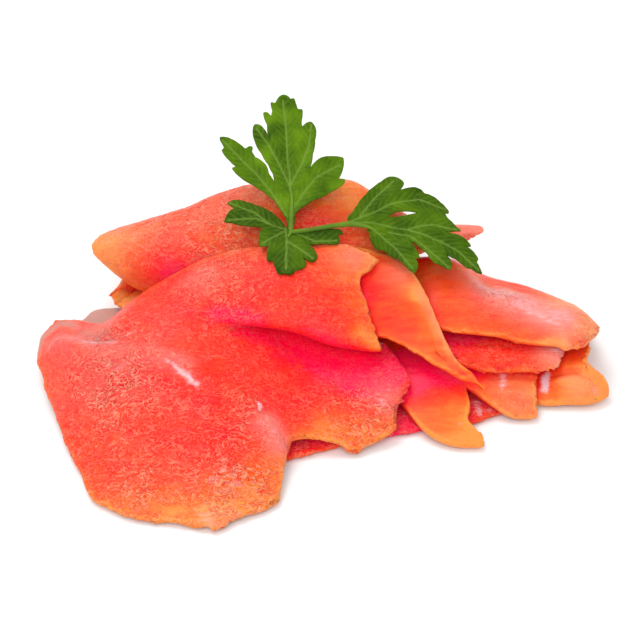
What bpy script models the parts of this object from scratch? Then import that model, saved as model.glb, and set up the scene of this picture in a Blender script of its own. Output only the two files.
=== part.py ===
"""A loose pile of smoked salmon slices with a sprig of flat-leaf parsley on top.

Every slice is a thin skin of fish, given by a few ribs: lines that run over the slice from its
back edge to its front edge, in order from its left end to its right end. A smooth surface is
drawn through them, its cut edge is torn a little, and neighbouring slices are eased apart until
each has room for its own thickness. A Solidify modifier then gives the slice its body.

Metres in the scene, millimetres in the tables. X is right, Y is to the back and Z is up. The
table under the pile is at Z = 0, and the last step centres the pile on the origin.
"""

import math

import bmesh
import bpy
import numpy as np
from mathutils import Matrix, Vector, noise
from mathutils.bvhtree import BVHTree

MM = 0.001

# The slices
SLICE_THICKNESS = 2.8
RIM_SHARE = 0.45          # the cut edge's thickness, as a share of the slice's
AIR_GAP = 0.6             # kept clear between the skins' faces
FACET = 6.0
TEAR_DEPTH = 0.9          # how far the cut edge wanders in and out
TEAR_LENGTH = 11.0
EASE_ROUNDS = 60
NEXT_DOOR = 2             # facets this close on one skin aren't counted as touching
SMALLEST_GAP = 0.5        # between ribs or between a rib's points, so that a pinched end stays smooth
ON_TABLE = SLICE_THICKNESS / 2

# The parsley
BLADE_THICKNESS = 0.9
BLADE_CELL = 5.0
LONG_SIDE = 8.0           # sides of lobes longer than this are rounded out
SIDE_BULGE = 0.08
STEM_RADIUS = 0.9
LEAF_CLEARANCE = 1.9      # from the fish to the middle of a leaf that lies on it
ABOVE_PILE = 200.0        # a height to look down from
ON_CUT = 0.05             # a corner this close to a cut through the blade is on it
WELD = 1e-6               # metres

# A rib is its X values, spread evenly along it, and then its (Y, Z) points from back to front.
RIBS = {
    # Lies flat on the table, under all the others.
    "bottom_slice": [
        ((-56, -54, -50), [(30, ON_TABLE), (8, ON_TABLE), (-14, ON_TABLE)]),
        ((-34,), [(42, ON_TABLE), (6, ON_TABLE), (-30, ON_TABLE)]),
        ((-11,), [(48, ON_TABLE), (6, ON_TABLE), (-37, ON_TABLE)]),
        ((5,), [(48, ON_TABLE), (9, ON_TABLE), (-30, ON_TABLE)]),
        ((23,), [(45, ON_TABLE), (10, ON_TABLE), (-25, ON_TABLE)]),
        ((44,), [(38, ON_TABLE), (8, ON_TABLE), (-21, ON_TABLE)]),
        ((56, 59, 56), [(28, ON_TABLE), (6, ON_TABLE), (-15, ON_TABLE)]),
    ],
    # Bulges up under the front slice, and its grey fat shows at the left.
    "left_slice": [
        ((-72, -75, -74), [(30, 4.8), (28, 5), (25, 5), (21, 4.6)]),
        ((-64, -65, -67), [(32, 5.2), (20, 5.4), (6, 7), (-6, 4.8)]),
        ((-48, -48, -50), [(38, 4.8), (15, 5.4), (-6, 13), (-28, 6)]),
        ((-30,), [(40, 4.8), (14, 5.4), (-10, 13), (-34, 6)]),
        ((-12, -11, -13), [(38, 4.8), (14, 5), (-6, 6.4), (-26, 5)]),
    ],
    # Rolled up under the back slice, and folded back on itself inside its roll.
    "inner_slice": [
        ((-59.5, -63, -60),
         [(21, 8.4), (24, 8.4), (26.5, 8.4), (29, 8.4), (31, 8.6), (33, 8.8), (35, 9), (37, 9.2)]),
        ((-52,), [(16, 9), (30, 8.6), (44, 9.2), (51, 14), (50, 20), (46, 21), (43, 18.5), (42, 15.5)]),
        ((-27,), [(6, 10), (34, 8.6), (57, 12), (51, 29), (37, 25.5), (24, 20), (30, 15), (44, 16.5)]),
        ((-6,), [(6, 10), (34, 8.6), (58, 13), (52, 31), (37, 27), (20, 21), (28, 15.5), (45, 17)]),
        ((13,), [(8, 9.5), (32, 8.6), (55, 14), (49, 29), (36, 26), (22, 21), (28, 15.5), (42, 17)]),
    ],
    # Its front edge hangs to the table in a long strip and a short flap.
    "lower_slice": [
        ((17, 19, 22), [(24, 7), (6, 7), (-2, 6.6), (-8, 5.6), (-12, 4.8)]),
        ((29, 29, 33), [(26, 8.2), (5, 8.8), (-8, 9), (-20, 4.8), (-29, 1.9)]),
        ((38, 38, 40, 42, 48), [(26, 8), (5, 8.6), (-8, 9), (-19, 5), (-31, 1.6)]),
        ((46, 45, 42), [(24, 8), (8, 8.2), (0, 8.2), (-6, 8), (-11, 7.4)]),
        ((56, 55, 56), [(22, 7.8), (8, 8), (-2, 7.6), (-10, 5), (-18, 1.6)]),
        ((65, 67, 65), [(18, 7.8), (8, 8), (0, 7.6), (-8, 5.4), (-18, 1.6)]),
    ],
    # Pale lobes at the right end, under all that is there.
    "side_slice": [
        ((54, 54, 57), [(22, 4.2), (10, 4.2), (2, 4), (-5, 4), (-9, 4)]),
        ((66,), [(26, 4.2), (10, 4.2), (0, 4.4), (-8, 3.6), (-13, 1.6)]),
        ((75,), [(25, 4.4), (10, 7), (-1, 8.6), (-8, 6.5), (-12, 1.6)]),
        ((82, 83, 83), [(18, 5.5), (8, 9), (0, 9.4), (-7, 6.5), (-13, 1.6)]),
        ((82, 82.5, 83, 88.5, 87.5), [(10, 7), (5, 8.5), (-1, 7.5), (-6, 5), (-9, 2)]),
    ],
    "mid_slice": [
        ((33, 36, 41), [(36, 12), (18, 12.6), (2, 12.4), (-6, 11.2)]),
        ((50, 51, 53), [(35, 11), (16, 12.2), (1, 12), (-7, 10.6)]),
        ((64, 65, 66), [(28, 10), (14, 11.8), (1, 11.6), (-6, 10.2)]),
        ((74, 76, 72), [(18, 10.4), (10, 11.2), (2, 11.6), (-4, 10)]),
    ],
    # Slopes down to the right end, and hangs to the table behind.
    "right_slice": [
        ((28,), [(46, 9), (39, 19), (28, 23.5), (18, 21.5), (8, 17.5)]),
        ((42, 40, 37), [(46, 5), (38, 18), (26, 25.5), (15, 23), (4, 18.5)]),
        ((54, 51, 53), [(44, 3), (34, 15), (19, 22.5), (10, 20.5), (2, 16.8)]),
        ((69, 66, 66), [(40, 2), (31, 12), (18, 19), (9, 18), (0, 14.8)]),
        ((82, 78, 76), [(30, 3), (24, 9.5), (15, 17.2), (8, 16.8), (0, 13.8)]),
        ((84, 86, 84), [(20, 6), (15, 10.5), (9, 14.2), (5, 14), (1, 11.6)]),
    ],
    # The high fold at the back, from a pale tip at the left to a pointed corner at the right.
    "back_slice": [
        ((-66, -70, -71, -73, -69, -61),
         [(47, 20), (45, 23.5), (41, 24.5), (38, 22.5), (37, 18), (35, 12)]),
        ((-58, -59, -59, -58, -57, -54),
         [(60, 8), (53, 21), (43, 27.5), (34, 24.5), (31, 19), (29, 12)]),
        ((-45, -46, -44), [(63, 2), (58.5, 20), (46, 31.5), (31, 26.5), (27, 20), (24, 13)]),
        ((-26,), [(74, 1.6), (61, 25), (50.5, 38), (34, 33), (27, 27), (21, 21)]),
        ((-8,), [(67, 3), (65, 26), (52, 40), (37, 37), (27, 31), (18, 26)]),
        ((10,), [(72, 7), (61, 28), (52, 40), (40, 36.5), (31, 31.5), (22, 28)]),
        ((27, 27, 25), [(62, 14), (53, 24), (43, 31.4), (37, 31.2), (31, 30), (26, 28.6)]),
        ((49, 50, 47), [(41, 27.6), (40.8, 27.8), (40.4, 28), (40, 28), (39.6, 28), (39.2, 27.9)]),
    ],
    # A flap that comes out from under the front slice and falls forward to a point.
    "curl_slice": [
        ((8, 9, 15), [(26, 32), (16, 28), (6, 22), (-1, 18.4)]),
        ((20, 20, 22), [(24, 31.5), (14, 28.4), (5, 23), (-3, 17.4)]),
        ((29,), [(16, 29.4), (9, 26), (2, 21.4), (-5, 16)]),
        ((35, 35, 34), [(4.5, 21.2), (1, 19.4), (-3.5, 17), (-8, 14.2)]),
        ((41, 41, 40), [(-7.5, 14.6), (-8.6, 14.2), (-9.8, 13.6), (-11, 12.8)]),
        ((49.5, 49.5, 49), [(-12, 11.3), (-12.3, 11.2), (-12.6, 11.1), (-12.9, 11)]),
    ],
    # The largest slice. At the left it hangs to the table. To the right it is pleated, so that
    # a lip hangs over its own lower half and ends in a small tongue.
    "front_slice": [
        ((-83, -88.3, -87.3, -84.2, -80, -75.5, -71, -64.5),
         [(20, 8.5), (13, 6.5), (4, 5.5), (-6, 4.5), (-16, 3.5), (-27, 2.6), (-40, 1.6), (-54, 1.5)]),
        ((-74, -74, -56),
         [(19, 9.5), (13, 12), (6, 14), (-3, 14.5), (-12, 12.5), (-24, 8.5), (-40, 4.5), (-60, 1.5)]),
        ((-67, -67, -50),
         [(13, 11.5), (9, 13.5), (4, 16), (-3, 17), (-10, 15.5), (-20, 12.5), (-39, 6), (-62, 1.5)]),
        ((-60, -58, -43),
         [(18, 16), (13, 18.5), (7, 20), (-2, 20), (-8, 19.5), (-17, 17), (-38, 8), (-62, 1.5)]),
        ((-47, -45, -30),
         [(25, 22), (17, 24.5), (8, 24), (0, 22.8), (-5, 22), (-17, 20.5), (-38, 10), (-65, 1.5)]),
        ((-34, -32, -22),
         [(25, 30), (17, 30.5), (8, 28), (1, 24), (-2, 21), (-10, 19), (-29, 12.5), (-61, 1.5)]),
        ((-20, -19, -11.5),
         [(24, 34), (17, 33.5), (8, 29.5), (-1, 23.5), (8, 18.5), (-8, 15.5), (-26, 10.5), (-54, 1.6)]),
        ((-7, -7, -10),
         [(24, 35), (17, 34), (8, 29.5), (-2, 22), (10, 15), (-6, 11.8), (-19, 9.6), (-33, 6.5)]),
        ((3,),
         [(24, 35), (17, 33.5), (8, 28.5), (-6, 19.8), (9, 13.2), (-5, 10.6), (-17, 8.4), (-31, 3.5)]),
        ((12, 7, 8.5, 12, 12, 14, 13.5, 12),
         [(22.5, 34.6), (15, 32.5), (7, 27), (-6, 18), (7, 12.4), (-6, 10.6), (-16, 8.4), (-32, 2)]),
        ((20.5, 12, 14, 19.5, 20, 26, 24.5, 22),
         [(19, 32.4), (13, 30), (6, 24), (-4, 15), (4, 13), (-8, 11), (-17, 8), (-26, 2.6)]),
    ],
}

# A leaf: the foot of its blade, the way its middle vein points, the way its side points, and its
# outline as (angle from the middle vein, distance from the foot), turning towards that side.
LEAVES = {
    "upper": ((-9, 26, 38), (-0.05, 0.848, 0.53), (1, 0.05, 0), [
        (-130, 1.6), (-32, 5), (-21, 12), (-38, 28), (-35.5, 29), (-35, 36), (-32.5, 36), (-31, 40),
        (-27, 33), (-26.5, 31), (-19, 16), (-16, 26.5), (-15, 39), (-9, 33), (-10, 42), (-7, 41),
        (-5, 45), (-1, 48), (3, 46), (8, 42), (9, 36), (12, 39), (17, 21), (35, 31), (41, 24),
        (46, 25), (26, 10), (14, 5), (130, 1.6),
    ]),
    "lower": ((-9, 26, 38), (-0.1, -0.95, -0.3), (-1, 0, 0.05), [
        (-135, 3), (-100, 15), (-94, 14), (-83, 15), (-59, 6), (-42, 13), (-32, 10), (-14, 14), (-5, 17),
        (6, 16), (22, 11), (28, 13), (42, 9), (55, 11), (80, 8), (94, 21), (110, 19), (114, 23),
        (125, 18), (135, 4),
    ]),
    "right": ((9, 29, 39.5), (0.93, -0.27, -0.2), (-0.25, -0.93, -0.3), [
        (-110, 2), (-83, 12), (-79, 20), (-73, 24), (-63, 24), (-59, 21), (-52, 26), (-42, 29), (-32, 32),
        (-30, 30), (-22, 33), (-17, 35), (-15, 33), (-10, 38), (-8, 36), (-4, 41), (-2, 40), (3, 44),
        (1, 38), (-3, 30), (6, 34), (7, 30), (-3, 19), (9, 24), (22, 26), (24, 18), (33, 11), (20, 5),
        (80, 2),
    ]),
}
# The stem runs from its cut end, past the foot of the first two leaves, to the right leaf.
STEM = [(-10, 24, 37.6), (-9, 26, 38), (-3, 27, 38.4), (4, 28.4, 39), (10, 28.8, 39.4), (15, 27.5, 38.6)]


def smooth_through(points, steps):
    """Points on a smooth line or surface through points, cutting gap i into steps[i] pieces."""
    gaps = np.linalg.norm(np.diff(points, axis=0), axis=-1)
    gaps = np.maximum(gaps.reshape(len(gaps), -1).mean(axis=1), SMALLEST_GAP)
    column = (-1,) + (1,) * (points.ndim - 1)
    slopes = np.diff(points, axis=0) / gaps.reshape(column)
    before, after = gaps[:-1].reshape(column), gaps[1:].reshape(column)
    inner = (slopes[:-1] * after + slopes[1:] * before) / (before + after)
    tangents = np.concatenate([slopes[:1], inner, slopes[-1:]])
    found = [points[0]]
    for i, count in enumerate(steps):
        for t in np.linspace(0, 1, count + 1)[1:]:
            found.append(
                (2 * t**3 - 3 * t**2 + 1) * points[i]
                + (t**3 - 2 * t**2 + t) * gaps[i] * tangents[i]
                + (3 * t**2 - 2 * t**3) * points[i + 1]
                + (t**3 - t**2) * gaps[i] * tangents[i + 1]
            )
    return np.array(found)


def facet_counts(points):
    """How many facets go into each gap between points along the first axis."""
    gaps = np.linalg.norm(np.diff(points, axis=0), axis=-1)
    return [max(1, round(gap / FACET)) for gap in gaps.reshape(len(gaps), -1).mean(axis=1)]


def skin_through(ribs):
    """The slice's middle surface: a grid of points, [across the ribs, along a rib, xyz]."""
    points = []
    for xs, sides in ribs:
        along = np.linspace(0, 1, len(sides))
        x = np.interp(along, np.linspace(0, 1, len(xs)), xs)
        points.append([(x[i], y, z) for i, (y, z) in enumerate(sides)])
    points = np.swapaxes(np.array(points, float), 0, 1)
    points = np.swapaxes(smooth_through(points, facet_counts(points)), 0, 1)
    return smooth_through(points, facet_counts(points))


def tear_rim(grid):
    """Moves each point of the cut edge in or out, away from its neighbour inside the slice."""
    rows, columns = grid.shape[:2]
    source = grid.copy()
    for row in range(rows):
        for column in range(columns):
            inner = min(max(row, 1), rows - 2), min(max(column, 1), columns - 2)
            outward = source[row, column] - source[inner]
            length = np.linalg.norm(outward)
            if length > 0:
                tear = noise.noise(Vector(source[row, column]) / TEAR_LENGTH)
                grid[row, column] += outward / length * 2 * TEAR_DEPTH * tear


def quads_of(grid):
    """The grid's faces, as corner numbers in reading order."""
    rows, columns = grid.shape[:2]
    return [
        (r * columns + c, (r + 1) * columns + c, (r + 1) * columns + c + 1, r * columns + c + 1)
        for r in range(rows - 1)
        for c in range(columns - 1)
    ]


def nearest_elsewhere(tree, grid, row, column, reach):
    """The nearest place on the same skin that isn't next to this point, as where it is folded."""
    columns = grid.shape[1]
    best = None
    for place, _normal, face, distance in tree.find_nearest_range(Vector(grid[row, column]), reach):
        steps = abs(face // (columns - 1) - row), abs(face % (columns - 1) - column)
        if max(steps) > NEXT_DOOR and (best is None or distance < best[1]):
            best = place, distance
    return best


def push_of(grid, name, row, column, trees, room):
    """How far this point has to move to give each skin near it its room."""
    point = Vector(grid[row, column])
    push = Vector((0, 0, 0))
    for other, tree in trees.items():
        if other == name:
            found = nearest_elsewhere(tree, grid, row, column, room)
        else:
            place, _normal, _face, distance = tree.find_nearest(point, room)
            found = place and (place, distance)
        if found and found[1] > 0:
            push += (point - found[0]) / found[1] * (room - found[1]) / 2
    return push


def shared_out(push):
    """Half of each point's push, and half of its neighbours', so that the skin stays smooth."""
    padded = np.pad(push, ((1, 1), (1, 1), (0, 0)), mode="edge")
    around = (padded[:-2, 1:-1] + padded[2:, 1:-1] + padded[1:-1, :-2] + padded[1:-1, 2:]) / 4
    return (push + around) / 2


def ease_apart(skins):
    """Moves the skins off each other and the table. The one that lies on the table stays put."""
    room = SLICE_THICKNESS + AIR_GAP
    for _ in range(EASE_ROUNDS):
        trees = {
            name: BVHTree.FromPolygons(grid.reshape(-1, 3).tolist(), quads_of(grid))
            for name, grid in skins.items()
        }
        for name, grid in skins.items():
            if name == "bottom_slice":
                continue
            rows, columns = grid.shape[:2]
            push = np.array([
                [push_of(grid, name, row, column, trees, room) for column in range(columns)]
                for row in range(rows)
            ])
            grid += shared_out(push)
            grid[..., 2] = np.maximum(grid[..., 2], ON_TABLE)


def slice_object(name, grid, collection, material):
    """The slice: its skin with a Solidify modifier, which is thinner at the cut edge."""
    rows, columns = grid.shape[:2]
    mesh = bpy.data.meshes.new(name)
    mesh.from_pydata((grid.reshape(-1, 3) * MM).tolist(), [], quads_of(grid))
    mesh.shade_smooth()
    mesh.materials.append(material)
    obj = bpy.data.objects.new(name, mesh)
    collection.objects.link(obj)
    body = obj.vertex_groups.new(name="body")
    for row in range(rows):
        for column in range(columns):
            on_rim = row in (0, rows - 1) or column in (0, columns - 1)
            body.add([row * columns + column], RIM_SHARE if on_rim else 1.0, "REPLACE")
    solidify = obj.modifiers.new("thickness", "SOLIDIFY")
    solidify.thickness = SLICE_THICKNESS * MM
    solidify.offset = 0
    solidify.vertex_group = body.name
    return obj


def rounded_outline(outline):
    """The outline's points in the blade's plane, with the long side of each lobe rounded out."""
    corners = [
        Vector((reach * math.cos(math.radians(turn)), reach * math.sin(math.radians(turn)), 0))
        for turn, reach in outline
    ]
    found = []
    for i, corner in enumerate(corners):
        found.append(corner)
        side = corners[(i + 1) % len(corners)] - corner
        if side.length > LONG_SIDE:
            out = Vector((side.y, -side.x, 0)) * SIDE_BULGE
            found += [corner + side * t + out * math.sin(math.pi * t) ** 2 for t in (0.25, 0.5, 0.75)]
    return found


def blade_mesh(outline):
    """A flat leaf blade in its own plane, cut into cells so that it can lie over a curved pile."""
    bm = bmesh.new()
    corners = [bm.verts.new(point) for point in rounded_outline(outline)]
    edges = [bm.edges.new((corners[i - 1], corners[i])) for i in range(len(corners))]
    bmesh.ops.triangle_fill(bm, edges=edges, use_beauty=True, use_dissolve=False)
    for axis in (0, 1):
        values = [vert.co[axis] for vert in bm.verts]
        for step in range(math.ceil(min(values) / BLADE_CELL), math.ceil(max(values) / BLADE_CELL)):
            place, normal = Vector((0, 0, 0)), Vector((0, 0, 0))
            place[axis], normal[axis] = step * BLADE_CELL, 1
            geometry = bm.verts[:] + bm.edges[:] + bm.faces[:]
            bmesh.ops.bisect_plane(bm, geom=geometry, plane_co=place, plane_no=normal, dist=ON_CUT)
    bmesh.ops.triangulate(bm, faces=bm.faces[:])
    return bm


def leaf_object(name, leaf, pile, collection, material):
    """A leaf blade in its place, resting on the pile where it would sink into it."""
    foot, ahead, side, outline = leaf
    ahead = Vector(ahead).normalized()
    side = (Vector(side) - Vector(side).project(ahead)).normalized()
    place = Matrix((ahead, side, ahead.cross(side))).transposed().to_4x4()
    place.translation = Vector(foot)
    bm = blade_mesh(outline)
    bm.transform(place)
    for vert in bm.verts:
        above = Vector((vert.co.x, vert.co.y, ABOVE_PILE))
        hits = [tree.ray_cast(above, Vector((0, 0, -1)))[0] for tree in pile]
        top = max((hit.z for hit in hits if hit), default=0) + SLICE_THICKNESS / 2
        vert.co.z = max(vert.co.z, top + LEAF_CLEARANCE)
    bmesh.ops.recalc_face_normals(bm, faces=bm.faces[:])
    bmesh.ops.scale(bm, vec=(MM, MM, MM), verts=bm.verts[:])
    mesh = bpy.data.meshes.new(name)
    bm.to_mesh(mesh)
    bm.free()
    mesh.materials.append(material)
    obj = bpy.data.objects.new(name, mesh)
    collection.objects.link(obj)
    solidify = obj.modifiers.new("thickness", "SOLIDIFY")
    solidify.thickness = BLADE_THICKNESS * MM
    solidify.offset = 0
    obj.hide_render = True
    obj.display_type = "WIRE"
    return obj


def stem_object(name, collection, material):
    """The stem, a thin round stalk, as a mesh that the leaves can be joined to."""
    curve = bpy.data.curves.new(name, "CURVE")
    curve.dimensions = "3D"
    curve.bevel_depth = STEM_RADIUS * MM
    curve.bevel_resolution = 1
    curve.use_fill_caps = True
    spline = curve.splines.new("POLY")
    spline.points.add(len(STEM) - 1)
    for point, place in zip(spline.points, STEM):
        point.co = (*(Vector(place) * MM), 1)
    guide = bpy.data.objects.new(name + "_guide", curve)
    collection.objects.link(guide)
    graph = bpy.context.evaluated_depsgraph_get()
    mesh = bpy.data.meshes.new_from_object(guide.evaluated_get(graph))
    bpy.data.objects.remove(guide, do_unlink=True)
    bm = bmesh.new()
    bm.from_mesh(mesh)
    bmesh.ops.remove_doubles(bm, verts=bm.verts[:], dist=WELD)
    bm.to_mesh(mesh)
    bm.free()
    mesh.materials.clear()
    mesh.materials.append(material)
    obj = bpy.data.objects.new(name, mesh)
    collection.objects.link(obj)
    return obj


def parsley_object(name, skins, collection, helpers, material):
    """The sprig: a stem with three compound leaves joined to it."""
    pile = [
        BVHTree.FromPolygons(grid.reshape(-1, 3).tolist(), quads_of(grid)) for grid in skins.values()
    ]
    sprig = stem_object(name, collection, material)
    for leaf_name, leaf in LEAVES.items():
        leaf = leaf_object(leaf_name + "_leaf", leaf, pile, helpers, material)
        join = sprig.modifiers.new("join_" + leaf_name, "BOOLEAN")
        join.operation = "UNION"
        join.object = leaf
    return sprig


def plain_material(name, colour, roughness):
    material = bpy.data.materials.new(name)
    material.use_nodes = True
    shader = material.node_tree.nodes["Principled BSDF"]
    shader.inputs["Base Color"].default_value = (*colour, 1)
    shader.inputs["Roughness"].default_value = roughness
    shader.inputs["Metallic"].default_value = 0
    return material


def new_collection(name):
    collection = bpy.data.collections.new(name)
    bpy.context.scene.collection.children.link(collection)
    return collection


def centre_on_origin(nodes, everything):
    """Moves the pile so that the origin is under the middle of its box, on the table."""
    graph = bpy.context.evaluated_depsgraph_get()
    corners = []
    for obj in nodes:
        evaluated = obj.evaluated_get(graph)
        corners += [vert.co.copy() for vert in evaluated.to_mesh().vertices]
        evaluated.to_mesh_clear()
    low = Vector(min(corner[axis] for corner in corners) for axis in range(3))
    high = Vector(max(corner[axis] for corner in corners) for axis in range(3))
    shift = Matrix.Translation((-(low.x + high.x) / 2, -(low.y + high.y) / 2, -low.z))
    for obj in everything:
        obj.data.transform(shift)


def main():
    for obj in list(bpy.data.objects):
        bpy.data.objects.remove(obj, do_unlink=True)
    pile = new_collection("smoked_salmon_slices")
    helpers = new_collection("helpers")
    helpers.hide_render = True
    skins = {name: skin_through(ribs) for name, ribs in RIBS.items()}
    for grid in skins.values():
        tear_rim(grid)
    ease_apart(skins)
    salmon = plain_material("salmon_flesh", (0.93, 0.16, 0.07), 0.35)
    green = plain_material("parsley_leaf", (0.09, 0.22, 0.02), 0.5)
    for name, grid in skins.items():
        slice_object(name, grid, pile, salmon)
    parsley_object("parsley_sprig", skins, pile, helpers, green)
    centre_on_origin(list(pile.objects), [*pile.objects, *helpers.objects])


main()
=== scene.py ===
# %% [markdown]
# # Smoked salmon slices with parsley
#
# The real thing is a loose pile of thin, cold-smoked slices, folded and draped over each other,
# with a sprig of flat-leaf parsley laid on top. A slice could be sculpted by hand, or simulated
# as a soft sheet. Here every slice starts as a copy of its own plain solid, because the solids
# already hold the folds and their sizes. What this file adds is what the plain solids leave out:
# a smooth skin, a torn and thinner cut edge, the grain of the flesh, and its colours.

# %% Load the plain solids
import math

import bmesh
import bpy
import numpy as np
from mathutils import Matrix, Vector, noise
from mathutils.bvhtree import BVHTree


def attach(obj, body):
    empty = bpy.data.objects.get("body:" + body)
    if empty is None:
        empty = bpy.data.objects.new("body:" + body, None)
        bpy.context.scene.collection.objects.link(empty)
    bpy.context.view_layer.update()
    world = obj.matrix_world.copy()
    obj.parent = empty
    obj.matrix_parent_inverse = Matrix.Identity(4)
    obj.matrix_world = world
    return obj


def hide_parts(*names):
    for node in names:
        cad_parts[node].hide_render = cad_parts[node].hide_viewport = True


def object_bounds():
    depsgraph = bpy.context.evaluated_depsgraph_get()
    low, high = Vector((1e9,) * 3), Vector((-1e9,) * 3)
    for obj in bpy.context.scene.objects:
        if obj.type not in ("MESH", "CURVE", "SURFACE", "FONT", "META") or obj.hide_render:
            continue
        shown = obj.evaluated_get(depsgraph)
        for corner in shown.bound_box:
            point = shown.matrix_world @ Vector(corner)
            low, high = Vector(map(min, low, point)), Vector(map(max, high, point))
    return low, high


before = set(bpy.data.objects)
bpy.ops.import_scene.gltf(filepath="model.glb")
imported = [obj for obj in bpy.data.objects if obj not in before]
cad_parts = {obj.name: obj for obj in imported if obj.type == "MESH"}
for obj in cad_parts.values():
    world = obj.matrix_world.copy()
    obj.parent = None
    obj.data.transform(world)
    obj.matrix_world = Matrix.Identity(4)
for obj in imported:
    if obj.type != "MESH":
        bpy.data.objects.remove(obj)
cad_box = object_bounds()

MM = 0.001
print("nodes:", ", ".join(sorted(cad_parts)))
print("the pile measures", " x ".join(f"{side / MM:.0f}" for side in cad_box[1] - cad_box[0]), "mm")

# %% [markdown]
# ## Camera
#
# Food is often shown from about 40 degrees above the table, so that both the top and the front
# of the pile show. A long lens keeps the near slices from looking too large. The camera aims a
# little in front of the pile's middle, at less than half of its height.

# %% Place the camera
LENS = 100.0
CAMERA_DISTANCE = 533 * MM
CAMERA_ELEVATION = math.radians(38)
middle = (cad_box[0] + cad_box[1]) / 2
aim = Vector((middle.x, middle.y - 5 * MM, 24.7 * MM))
back = Vector((0, -math.cos(CAMERA_ELEVATION), math.sin(CAMERA_ELEVATION)))
camera = bpy.data.objects.new("camera", bpy.data.cameras.new("camera"))
camera.data.lens = LENS
camera.data.clip_start = 0.01
camera.location = aim + back * CAMERA_DISTANCE
camera.rotation_euler = (-back).to_track_quat("-Z", "Y").to_euler()
bpy.context.scene.collection.objects.link(camera)
bpy.context.scene.camera = camera
print("camera at", [round(x, 3) for x in camera.location])

# %% [markdown]
# ## Floor and light
#
# A pale table and large soft lamps suit wet food: a small lamp would give hard white dots. The
# strongest lamp hangs behind and above, so that the folds get a soft sheen along their tops,
# and a broad one in front keeps the folds open. The Standard view keeps the reds as they are.

# %% Make the floor and the lamps
FLOOR_SIZE = 6.0


def plain_floor():
    bm = bmesh.new()
    bmesh.ops.create_grid(bm, x_segments=1, y_segments=1, size=FLOOR_SIZE / 2)
    mesh = bpy.data.meshes.new("floor")
    bm.to_mesh(mesh)
    bm.free()
    floor = bpy.data.objects.new("floor", mesh)
    bpy.context.scene.collection.objects.link(floor)
    material = bpy.data.materials.new("floor")
    material.use_nodes = True
    shader = material.node_tree.nodes["Principled BSDF"]
    shader.inputs["Base Color"].default_value = (0.93, 0.93, 0.93, 1)
    shader.inputs["Roughness"].default_value = 0.9
    shader.inputs["Specular IOR Level"].default_value = 0.0
    mesh.materials.append(material)


def lamp(name, place, size, power):
    light = bpy.data.lights.new(name, "AREA")
    light.shape = "DISK"
    light.size = size
    light.energy = power
    obj = bpy.data.objects.new(name, light)
    obj.location = aim + Vector(place)
    obj.rotation_euler = (-Vector(place)).to_track_quat("-Z", "Y").to_euler()
    bpy.context.scene.collection.objects.link(obj)


plain_floor()
lamp("key_above_back", (-0.3, 0.35, 0.9), 0.6, 3.9)
lamp("fill_front", (-0.15, -0.75, 0.8), 0.9, 4.5)
world = bpy.data.worlds.new("studio")
world.use_nodes = True
world.node_tree.nodes["Background"].inputs["Color"].default_value = (1, 1, 1, 1)
world.node_tree.nodes["Background"].inputs["Strength"].default_value = 0.8
bpy.context.scene.world = world
bpy.context.scene.view_settings.view_transform = "Standard"
print("one floor, two lamps and a white room")

# %% [markdown]
# ## The flesh, as a material
#
# Salmon flesh is translucent: light goes in a few millimetres and comes out redder, so deep
# folds turn crimson and thin edges glow orange. Subsurface scattering does a part of this; the
# rest is painted light: painted shade in the folds and a painted glow on the edges. The colour
# itself follows a painted tone, on each slice further down, which holds both the flesh's own
# colour and that painted shade and glow: 0 is crimson, 1 a pale orange. Four more painted values
# add a pink cast that is also a painted sheen, bits of pale fat that also make painted highlight
# streaks, the grey fat next to the skin, and the squiggly threads that a grainy cut shows, with a
# painted highlight on each thread and painted shade in the gaps. Noise breaks all of them up.

# %% Node helpers
def node(tree, kind, **settings):
    made = tree.nodes.new(kind)
    for name, value in settings.items():
        setattr(made, name, value)
    return made


def painted(tree, name):
    return node(tree, "ShaderNodeAttribute", attribute_name=name).outputs["Fac"]


def joined(tree, value, socket):
    """Puts a number, a colour or another node's output into a socket."""
    if isinstance(value, bpy.types.NodeSocket):
        tree.links.new(value, socket)
    else:
        socket.default_value = value


def maths(tree, operation, first, second=0.0, third=0.0, clamp=False):
    made = node(tree, "ShaderNodeMath", operation=operation, use_clamp=clamp)
    for value, socket in zip((first, second, third), made.inputs):
        joined(tree, value, socket)
    return made.outputs[0]


def mixed(tree, share, first, second, blend="MIX"):
    made = node(tree, "ShaderNodeMix", data_type="RGBA", blend_type=blend)
    joined(tree, share, made.inputs["Factor"])
    joined(tree, first, made.inputs["A"])
    joined(tree, second, made.inputs["B"])
    return made.outputs["Result"]


def cloud(tree, size, stretch=(1, 1, 1), detail=3.0, roughness=0.5, bend=0.0):
    """Noise in the object's own space, whose lumps are about size metres across."""
    place = node(tree, "ShaderNodeTexCoord").outputs["Object"]
    scaled = node(tree, "ShaderNodeMapping")
    scaled.inputs["Scale"].default_value = [1 / (size * s) for s in stretch]
    tree.links.new(place, scaled.inputs["Vector"])
    made = node(tree, "ShaderNodeTexNoise")
    made.inputs["Scale"].default_value = 1.0
    made.inputs["Detail"].default_value = detail
    made.inputs["Roughness"].default_value = roughness
    made.inputs["Distortion"].default_value = bend
    tree.links.new(scaled.outputs["Vector"], made.inputs["Vector"])
    return made.outputs["Fac"]


def winding_line(tree, field, value, width):
    """A thin winding line, where a noise passes through this value."""
    away = maths(tree, "ABSOLUTE", maths(tree, "SUBTRACT", field, value))
    return maths(tree, "MULTIPLY_ADD", away, -1 / width, 1.0, clamp=True)


def ramp(tree, value, stops):
    made = node(tree, "ShaderNodeValToRGB")
    points = made.color_ramp.elements
    while len(points) < len(stops):
        points.new(1.0)
    for point, (position, colour) in zip(points, stops):
        point.position = position
        point.color = (*colour, 1)
    tree.links.new(value, made.inputs["Fac"])
    return made.outputs["Color"]


print("node helpers are ready")
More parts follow.
